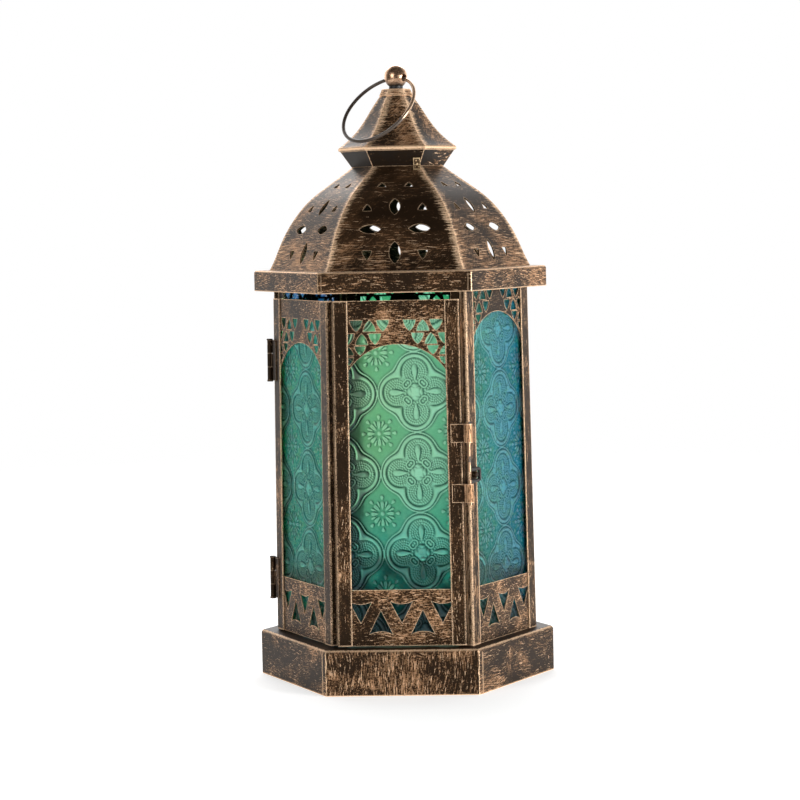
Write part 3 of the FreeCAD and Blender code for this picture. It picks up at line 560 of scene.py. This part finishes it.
def quatrefoil(a, b):
    """Relief round a quatrefoil's middle, and 1 where its glass is palest."""
    # lobes point along both axes; fold into one octant
    p, q = np.maximum(abs(a), abs(b)), np.minimum(abs(a), abs(b))
    from_lobe = np.hypot(p - LOBE_OFF, q)
    from_next = np.hypot(p, q - LOBE_OFF)
    lobed, outline = (soft_least(from_lobe, from_next, blend) - LOBE_R for blend in NOTCH)
    inside = np.clip(0.5 - lobed / 0.3, 0, 1)
    h = LOBE_HEIGHT * inside
    # the band's inner edge follows the lobes, its outer edge runs softly round the notches
    within = np.minimum(lobed - BAND_AT + BAND_HALF, BAND_AT + BAND_HALF - outline)
    h = np.maximum(h, ridge(1 - np.clip(within / BAND_HALF, 0, 1), 1))
    h = np.maximum(h, LINE_HEIGHT * ridge(outline - LINE_AT, LINE_HALF))

    # beads in rings round each lobe's centre, clear of petal, scrolls and boss
    ring = np.round(from_lobe / BEAD)
    angle = np.arctan2(q, p - LOBE_OFF)
    count = np.maximum(np.round(2 * math.pi * ring), 1)
    bead = np.cos(math.pi * (from_lobe / BEAD - ring)) * abs(np.cos(angle * count * 0.5 + ring))
    petal = drop(p, q, *PETAL)
    scroll_far = np.hypot(p - SCROLL_AT[0], q - SCROLL_AT[1])
    boss_far = np.hypot(a, b)
    clear = ((petal < -0.35) & (scroll_far > SCROLL_R) & (boss_far > BOSS_R) & (lobed < -0.45)
             & (ring >= 1))
    foot, rise = BEAD_HEIGHT
    h = np.maximum(h, np.where(clear, foot + rise * np.clip(bead, 0, 1), 0))
    foot, rise = PETAL_HEIGHT
    h = np.maximum(h, foot + rise * raised(petal, 1.5) - foot * (petal < 0))
    scroll = ridge(scroll_far - SCROLL_RING, 0.55) * 0.8 + ridge(scroll_far, 0.8) * 0.6
    h = np.maximum(h, np.where(lobed < 0, scroll, 0))
    star = np.cos(4 * np.arctan2(b, a)) * 0.5 + 0.5
    foot, rise = BOSS_HEIGHT
    boss = ridge(boss_far - BOSS_RING, 1.4) * (foot + rise * star)
    h = np.maximum(h, np.where(boss_far < BOSS_R, boss, 0))
    h = np.maximum(h, ridge(boss_far, 1.1) * HUB_HEIGHT)
    pale = np.clip(0.5 + (LINE_AT + LINE_HALF - outline) / 0.4, 0, 1) * (1 - 0.2 * inside)
    return h, pale


def flower(c, d):
    """Relief of the flower between four quatrefoils: petals, narrow leaves, outer buds."""
    far, turn = np.hypot(c, d), np.arctan2(d, c)
    x, y = spokes(far, turn, 0)
    h = raised(drop(x, y, *FLOWER_PETAL), 1.6) * (1 - 0.45 * ridge(y, 0.35))
    h = np.maximum(h, 0.8 * raised(drop(x, y, *FLOWER_BUD), 1.8))
    x, y = spokes(far, turn, 0.5)
    h = np.maximum(h, 0.85 * raised(drop(x, y, *FLOWER_LEAF), 1.8))
    return np.maximum(h, HUB_HEIGHT * ridge(far, 1.2))


def relief(u, z, u0, z0):
    """Height of the cast pattern, and 1 where its glass is palest, at facet coordinates."""
    across = (u * math.cos(LEAN) + (z - z0) * math.sin(LEAN)) * SQUEEZE - u0
    rise = (z - z0) * math.cos(LEAN) - u * math.sin(LEAN)
    half = PITCH / 2
    foil, pale = quatrefoil((across + half) % PITCH - half, (rise + half) % PITCH - half)
    bloom = flower(across % PITCH - half, rise % PITCH - half)
    return np.maximum(foil, bloom * FLOWER_HEIGHT), np.maximum(pale, raised(bloom, 1.6))


def soft_steps(edges, counts):
    """Positions from edge to edge, each span cut into its own number of steps."""
    parts = [np.linspace(a, b, n, endpoint=False) for a, b, n in zip(edges, edges[1:], counts)]
    return np.concatenate(parts + [np.array(edges[-1:], float)])


def pane_frame(node, azimuth):
    """Where a CAD pane lies: its axes, and its extents along them."""
    points = np.array([v.co for v in NODES[node].data.vertices], float) / MM
    a = math.radians(azimuth)
    level = np.array([math.cos(a), math.sin(a), 0.0])
    along = np.array([-level[1], level[0], 0.0])
    reach = points @ level
    low = points[:, 2] < points[:, 2].mean()
    # the pane leans: its outer face's foot and top give the slope
    foot = np.array([reach[low].max(), points[low][reach[low].argmax(), 2]])
    top = np.array([reach[~low].max(), points[~low][reach[~low].argmax(), 2]])
    lean = (top - foot) / np.linalg.norm(top - foot)
    up = level * lean[0] + np.array([0, 0, lean[1]])
    axes = np.stack([along, up, np.cross(along, up)])
    spots = points @ axes.T
    return {"axes": axes, "up": (spots[:, 1].min(), spots[:, 1].max()),
            "out": (spots[:, 2].min(), spots[:, 2].max()),
            "half_low": abs(spots[low][:, 0]).max(), "half_high": abs(spots[~low][:, 0]).max()}


def soften(field, reach):
    """Mean of a grid over a square of cells round each one."""
    for axis in (0, 1):
        field = sum(np.roll(field, k, axis) for k in range(-reach, reach + 1)) / (2 * reach + 1)
    return field


FINE, COARSE = 0.3, 0.62            # grid steps where the pane is seen, and behind the screen
SEEN_HALF = 25.2                    # half the width of the seen part
SILL = 48.5                         # heights along the pane between which it is seen
ARCH, DOOR_ARCH = 181.5, 168.0
COLUMNS_BEHIND = 5
SKIN = 0.01                         # the highest relief lies this far inside the CAD face
SIDELIGHT = (0.82, 0.57)            # flanks that look right and up get painted shade, those that look left and down painted highlight
# strengths of the painted shade (slope, facing, hollow) and of the painted highlight (facing,
# crest)
SLOPE_DARK, FACING_DARK, HOLLOW_DARK = 0.5, 1.7, 3.4
FACING_LIGHT, CREST_LIGHT = -0.8, 2.4
CREST_CELLS = 3                     # a crest stands above the mean of so many cells each way


def relief_pane(facet, material, u0, z0):
    """A closed pane with the cast pattern on its outer face, in place of the plain CAD one."""
    node = facet + "_glass"
    on_door = facet in DOOR_FACETS
    f = pane_frame(node, FACET_AZIMUTHS[facet])
    low, high = f["up"]
    inner, outer = f["out"]
    levels = [low, SILL, DOOR_ARCH if on_door else ARCH, high]
    rows = soft_steps(levels, [math.ceil(abs(b - a) / step)
                               for a, b, step in zip(levels, levels[1:], (COARSE, FINE, COARSE))])
    seen = SEEN_HALF / f["half_low"]
    cols = soft_steps([-1, -seen, seen, 1],
                      [COLUMNS_BEHIND, math.ceil(2 * seen * f["half_low"] / FINE), COLUMNS_BEHIND])
    half = f["half_low"] + (f["half_high"] - f["half_low"]) * (rows - low) / (high - low)
    u = np.outer(half, cols)
    v = np.repeat(rows[:, None], len(cols), 1)
    level, zone = relief(u, v * f["axes"][1][2], u0, z0)
    ripple = np.sin(u * 0.9 + 1.3 * np.sin(v * 0.31)) * np.sin(v * 0.7 + u0)
    sunk = RELIEF_DEPTH * (1 - np.clip(level * 0.9 + 0.04 * ripple + 0.05, 0, 1))
    n = outer - sunk - SKIN

    # painted shade on steep flanks, on flanks that look right and up, and in hollows; painted
    # highlight on the other flanks and on crests
    rise_up = np.gradient(n, axis=0) / np.gradient(v, axis=0)
    rise_along = np.gradient(n, axis=1) / np.gradient(u, axis=1)
    facing = -(SIDELIGHT[0] * rise_along + SIDELIGHT[1] * rise_up)
    crest = level - soften(level, CREST_CELLS)
    slope = np.hypot(rise_up, rise_along)
    dark = SLOPE_DARK * slope + FACING_DARK * facing - HOLLOW_DARK * np.minimum(crest, 0)
    light = FACING_LIGHT * facing + CREST_LIGHT * crest

    index = np.arange(u.size).reshape(u.shape)
    quads = np.stack([index[:-1, :-1], index[:-1, 1:], index[1:, 1:], index[1:, :-1]], -1)
    quads = quads.reshape(-1, 4)
    rim = np.concatenate([index[0, :-1], index[:-1, -1], index[-1, :0:-1], index[:0:-1, 0]])
    front = np.stack([u, v, n], -1).reshape(-1, 3)
    back = front[rim].copy()
    back[:, 2] = inner
    back_index = np.arange(len(rim)) + u.size
    after = np.roll(np.arange(len(rim)), -1)
    walls = np.stack([rim[after], rim, back_index, back_index[after]], -1)

    points = np.concatenate([front, back]) @ f["axes"] * MM
    mesh = bpy.data.meshes.new("relief_" + node)
    mesh.from_pydata(points.tolist(), [],
                     quads.tolist() + walls.tolist() + [back_index[::-1].tolist()])
    mesh.update()
    # cast_dark carries the painted shade, cast_light the painted highlight, cast_zone the pale
    # pattern
    for name, values in (("cast_dark", dark), ("cast_light", light), ("cast_zone", zone)):
        flat = np.zeros(len(points), np.float32)
        flat[:values.size] = np.clip(values, 0, 1).ravel()
        mesh.attributes.new(name, "FLOAT", "POINT").data.foreach_set("value", flat)
    smooth = np.zeros(len(mesh.polygons), bool)
    smooth[:len(quads)] = True
    mesh.polygons.foreach_set("use_smooth", smooth)
    mesh.materials.append(material)
    pane = bpy.data.objects.new("relief_" + node, mesh)
    bpy.context.scene.collection.objects.link(pane)
    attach(pane, "door" if on_door else "housing")
    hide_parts(node)


GREEN = (0.84, 0.97, 0.78)
MINT = (0.70, 0.96, 0.96)
TEAL = (0.16, 0.82, 1.0)
REAR_GREEN = (0.66, 0.84, 0.60)
DARK_GREEN = (0.04, 0.34, 0.16)
JADE = (0.06, 0.80, 0.51)
LEAF = (0.30, 0.92, 0.28)
SEA = (0.36, 1.0, 1.0)
SKY = (0.03, 0.54, 1.0)
REAR_TEAL = (0.42, 0.66, 0.88)
BLUE = (0.08, 0.40, 0.74)
DEEP_BLUE = (0.01, 0.05, 0.25)
CLEAR_CAST, GRITTY_CAST = (0.12, 0.97), (0.75, 0.9)     # share of specks, depth of the painted shade on flanks
FRONT_RISE, WHOLE, TOP_ONLY = (50, 122), (45, 175), (172, 182)
PANES = {
    # facet: slot, lattice offset along the facet and up, tints, fleck, rise, cast
    "front": ("glass_green", 10.1, 104.7, (TEAL, TEAL, GREEN, MINT), (MINT, 0.3),
              FRONT_RISE, CLEAR_CAST),
    "left_front": ("glass_teal", 5.3, 95.7, (JADE,) * 4, (LEAF, 0.6), WHOLE, GRITTY_CAST),
    "right_front": ("glass_blue", 4.2, 94.1, (SEA, SKY, SEA, SKY), (LEAF, 0.45),
                    WHOLE, GRITTY_CAST),
    "left_rear": ("glass_blue", 12.0, 101.0, (BLUE, BLUE, DEEP_BLUE, DEEP_BLUE), (BLUE, 0.0),
                  TOP_ONLY, GRITTY_CAST),
    "rear": ("glass_green", -4.0, 95.0, (REAR_GREEN, REAR_GREEN, DARK_GREEN, DARK_GREEN),
             (REAR_GREEN, 0.0), TOP_ONLY, CLEAR_CAST),
    "right_rear": ("glass_green", 5.0, 110.0, (REAR_TEAL,) * 4, (JADE, 0.3), WHOLE, GRITTY_CAST),
}


def make_panes():
    for facet, (slot, u0, z0, tints, fleck, rise, (grit, painted_shade_depth)) in PANES.items():
        material = relief_glass_material("cast_" + facet, tints, fleck, rise, grit, painted_shade_depth)
        relief_pane(facet, material, u0, z0)


# ---- finishes of the CAD nodes ----------------------------------------------
def dress(material, *names):
    for name in names:
        data = NODES[name].data
        data.materials.clear()
        data.materials.append(material)


def named(part):
    return [name for name in NODES if part in name]


RIM_DEPTH = 1.0                 # how far in from a side its worn rim reaches
KNUCKLE = 4.6                   # width of a latch strap's rolled knuckle
DOME_FOOT = 22                  # height over which the dome's foot is more rubbed


def dress_sheet_metal():
    apothem = math.cos(math.pi / 6)
    base_side, eave_side = (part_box(node)[1].x / MM * apothem - RIM_DEPTH
                            for node in ("base_tray", "eave_band"))
    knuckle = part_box("latch_strap_upper")[1].x / MM - KNUCKLE
    dress(bronzed("base_bronze", strokes="both", cover=0.02, side_cover_and_sheen=-0.06, ledge=0.6, hip=0.3,
                  edge=0.8, bands=((BASE_HIGH, 0.9, 0.75, base_side), (BASE_LOW, 0.6, 0.8, 0))),
          "base_tray")
    # the extra copper on the eave's side facets is painted sheen
    dress(bronzed("eave_bronze", length=5.0, cover=-0.08, side_cover_and_sheen=0.09, hip=0.25, edge=0.3,
                  edge_bright=0.5,
                  bands=((EAVE_HIGH, 0.7, 0.85, eave_side), (EAVE_LOW, 0.5, 0.7, 0))),
          "eave_band")
    # the extra copper on the dome's side facets is painted sheen
    dress(bronzed("dome_bronze", length=9.0, cover=-0.16, side_cover_and_sheen=0.08, patchy=0.7, mottle=0.45,
                  crossed=0.25, hip=1.7, edge=0.4, edge_bright=0.6,
                  foot=(EAVE_HIGH, EAVE_HIGH + DOME_FOOT, 0.14)),
          *named("roof_gore"))
    # the collar's near-black coat and scarce copper are painted shade under the cap
    dress(bronzed("collar_bronze", coat=(PAINTED_SHADE_BLACK, COAT_DARK), cover=-0.26, hip=0.2, edge=0.4,
                  right=(9.0, 15.0, 0.15)),
          "cap_collar")
    dress(bronzed("cap_bronze", cover=-0.06, side_cover_and_sheen=-0.07, crossed=0.9, hip=1.9, edge=0.6,
                  bands=((CAP_LOW + 1.0, 0.9, 1.0, 0),)),
          "cap_pyramid")
    dress(bronzed("crown_bronze", cover=0.12, crossed=0.6, hip=1.6, edge=0.6,
                  bands=((CROWN_HIGH, 0.6, 0.8, 0),)),
          "cap_crown")
    dress(bronzed("stile_bronze", strokes="up", length=5.0, cover=-0.12, edge=1.2),
          *named("_stile_"))
    # the post's broad edge wear is partly painted highlight on its rounded bend
    dress(bronzed("post_bronze", strokes="up", length=9.0, cover=-0.03, mottle=0.5, edge=1.8),
          "right_front_stile_left")
    dress(bronzed("screen_bronze", length=3.5, cover=-0.05, side_cover_and_sheen=-0.03, mottle=1.0, edge=0.5),
          *named("_screen"))
    dress(bronzed("hinge_bronze", strokes="up", length=3.0, cover=-0.16, edge=0.3,
                  edge_bright=0.4),
          "latch_keeper", *named("hinge_"))
    dress(bronzed("inside_bronze", strokes="up", cover=-0.2, edge=0.3),
          "candle_cup", *named("_angle"))
    # more copper on the straps' rolled knuckles at the right: partly wear, partly painted highlight
    dress(bronzed("fitting_bronze", strokes="up", length=5.0, cover=-0.12,
                  right=(knuckle, knuckle + 0.8, 0.34)),
          *named("latch_strap"))


def dress_small_parts():
    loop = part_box("latch_wire")[0].x / MM
    dress(rubbed_ball("finial_copper"), "finial_ball")
    # the ring's rub marks grow towards its right and the latch wire's towards its rod: there they
    # are partly painted highlight
    dress(wire("ring_wire", RING_WIRE, 0.09, -6.0, 12.0, 0.35), "hanging_ring")
    dress(wire("latch_wire_dark", LATCH_WIRE, 0.35, loop + 3.4, loop + 1.6, 0.1), "latch_wire")
    dress(lock_brass("lock_brass"), "cap_lock_tabs")
    dress(plated_steel("plated_steel"), "cup_rivet", "finial_nut", *named("glass_clips"))


# ---- surroundings -----------------------------------------------------------
FLOOR_RADIUS = 1.6              # metres, as all lengths below
FLOOR_FADE = (0.25, 1.1)
FLOOR_WHITE = (0.93, 0.93, 0.925)
FLOOR_GLOW = 0.5                # keeps the pale floor near white under soft light


def make_floor():
    """Pale disc under the lantern that fades out into the pale surround."""
    bpy.ops.mesh.primitive_circle_add(vertices=96, radius=FLOOR_RADIUS, fill_type="NGON")
    floor = bpy.context.object
    floor.name = "floor"
    material = bpy.data.materials.new("floor_white")
    material.use_nodes = True
    material.node_tree.nodes.clear()
    g = Graph(material.node_tree)
    far = g.add("ShaderNodeVectorMath", operation="LENGTH")
    g.put(far.inputs[0], g.add("ShaderNodeTexCoord").outputs["Object"])
    diffuse = g.add("ShaderNodeBsdfDiffuse")
    g.put(diffuse.inputs["Color"], FLOOR_WHITE)
    glow = g.add("ShaderNodeEmission")
    g.put(glow.inputs["Strength"], FLOOR_GLOW)
    lit = g.add("ShaderNodeAddShader")
    g.put(lit.inputs[0], diffuse.outputs[0])
    g.put(lit.inputs[1], glow.outputs[0])
    faded = g.add("ShaderNodeMixShader")
    g.put(faded.inputs[0], g.ramp(far.outputs["Value"], *FLOOR_FADE))
    g.put(faded.inputs[1], lit.outputs[0])
    g.put(faded.inputs[2], g.add("ShaderNodeBsdfTransparent").outputs[0])
    g.put(g.add("ShaderNodeOutputMaterial").inputs[0], faded.outputs[0])
    floor.data.materials.append(material)


def make_surround():
    """White studio. Surfaces are lit and mirrored by a bright backdrop behind the lantern and
    a dim room in front of it; what is seen past or through the lantern is plain white.
    The levels go by direction: x to the right, y to the back, z up."""
    world = bpy.data.worlds.new("studio")
    bpy.context.scene.world = world
    world.use_nodes = True
    world.node_tree.nodes.clear()
    g = Graph(world.node_tree)
    x, y, z = g.split(g.add("ShaderNodeTexCoord").outputs["Generated"])
    back = g.ramp(y, 0.0, 0.6, 0.06, 2.0)
    sky = g.ramp(z, 0.5, 0.85, 1.0, 0.2)
    ground = g.ramp(z, -0.35, -0.12, 0.3, 1.0)
    corner = g.ramp(g.times(x, z), 0.1, 0.3, 1.0, 0.4)
    level = g.times(back, sky, g.times(ground, corner))
    path = g.add("ShaderNodeLightPath").outputs
    bounced = g.most(path["Is Diffuse Ray"], path["Is Glossy Ray"])
    background = g.add("ShaderNodeBackground")
    g.put(background.inputs["Color"], (1.0, 1.0, 1.0))
    g.put(background.inputs["Strength"], g.blend(bounced, 1.0, level))
    g.put(g.add("ShaderNodeOutputWorld").inputs[0], background.outputs[0])


LIT_POINT = (0, 0, 0.15)
SOFTBOXES = {
    # name: place, width and height, watts
    "key": ((1.0, -0.62, 0.14), (0.5, 0.6), 18.5),
    "fill": ((-0.65, -0.95, 0.45), (0.5, 0.7), 5),
    "back": ((-0.12, 0.95, 0.85), (0.9, 0.5), 6),
}


def make_lights():
    for name, (place, size, power) in SOFTBOXES.items():
        light = bpy.data.lights.new(name, "AREA")
        light.shape = "RECTANGLE"
        light.size, light.size_y = size
        light.energy = power
        box = bpy.data.objects.new(name, light)
        bpy.context.scene.collection.objects.link(box)
        box.location = place
        box.rotation_mode = "QUATERNION"
        ahead = Vector(LIT_POINT) - Vector(place)
        box.rotation_quaternion = ahead.to_track_quat("-Z", "Y")


CAMERA_DISTANCE = 1.21249
CAMERA_HEIGHT = 0.23096
CAMERA_ANGLES = (2.3991, 4.5001, -0.0551, -1.1842)     # azimuth, pitch, yaw, roll in degrees
CAMERA_LENS, CAMERA_SENSOR = 110.642, 36


def make_camera():
    data = bpy.data.cameras.new("camera")
    data.lens, data.sensor_width = CAMERA_LENS, CAMERA_SENSOR
    data.clip_start, data.clip_end = 0.05, 50
    camera = bpy.data.objects.new("camera", data)
    bpy.context.scene.collection.objects.link(camera)
    azimuth, pitch, yaw, roll = map(math.radians, CAMERA_ANGLES)
    up = Vector((0, 0, 1))
    ahead = Vector((-math.sin(azimuth - yaw), math.cos(azimuth - yaw), 0))
    right = ahead.cross(up)
    look = ahead * math.cos(pitch) - up * math.sin(pitch)
    over = up * math.cos(pitch) + ahead * math.sin(pitch)
    tilted_right = right * math.cos(roll) + over * math.sin(roll)
    tilted_up = over * math.cos(roll) - right * math.sin(roll)
    place = (math.sin(azimuth) * CAMERA_DISTANCE, -math.cos(azimuth) * CAMERA_DISTANCE,
             CAMERA_HEIGHT)
    camera.matrix_world = Matrix([(tilted_right[k], tilted_up[k], -look[k], place[k])
                                  for k in range(3)] + [(0, 0, 0, 1)])
    bpy.context.scene.camera = camera


dress_sheet_metal()
dress_small_parts()
make_panes()
make_floor()
make_surround()
make_lights()
make_camera()
bpy.context.scene.view_settings.view_transform = "Standard"
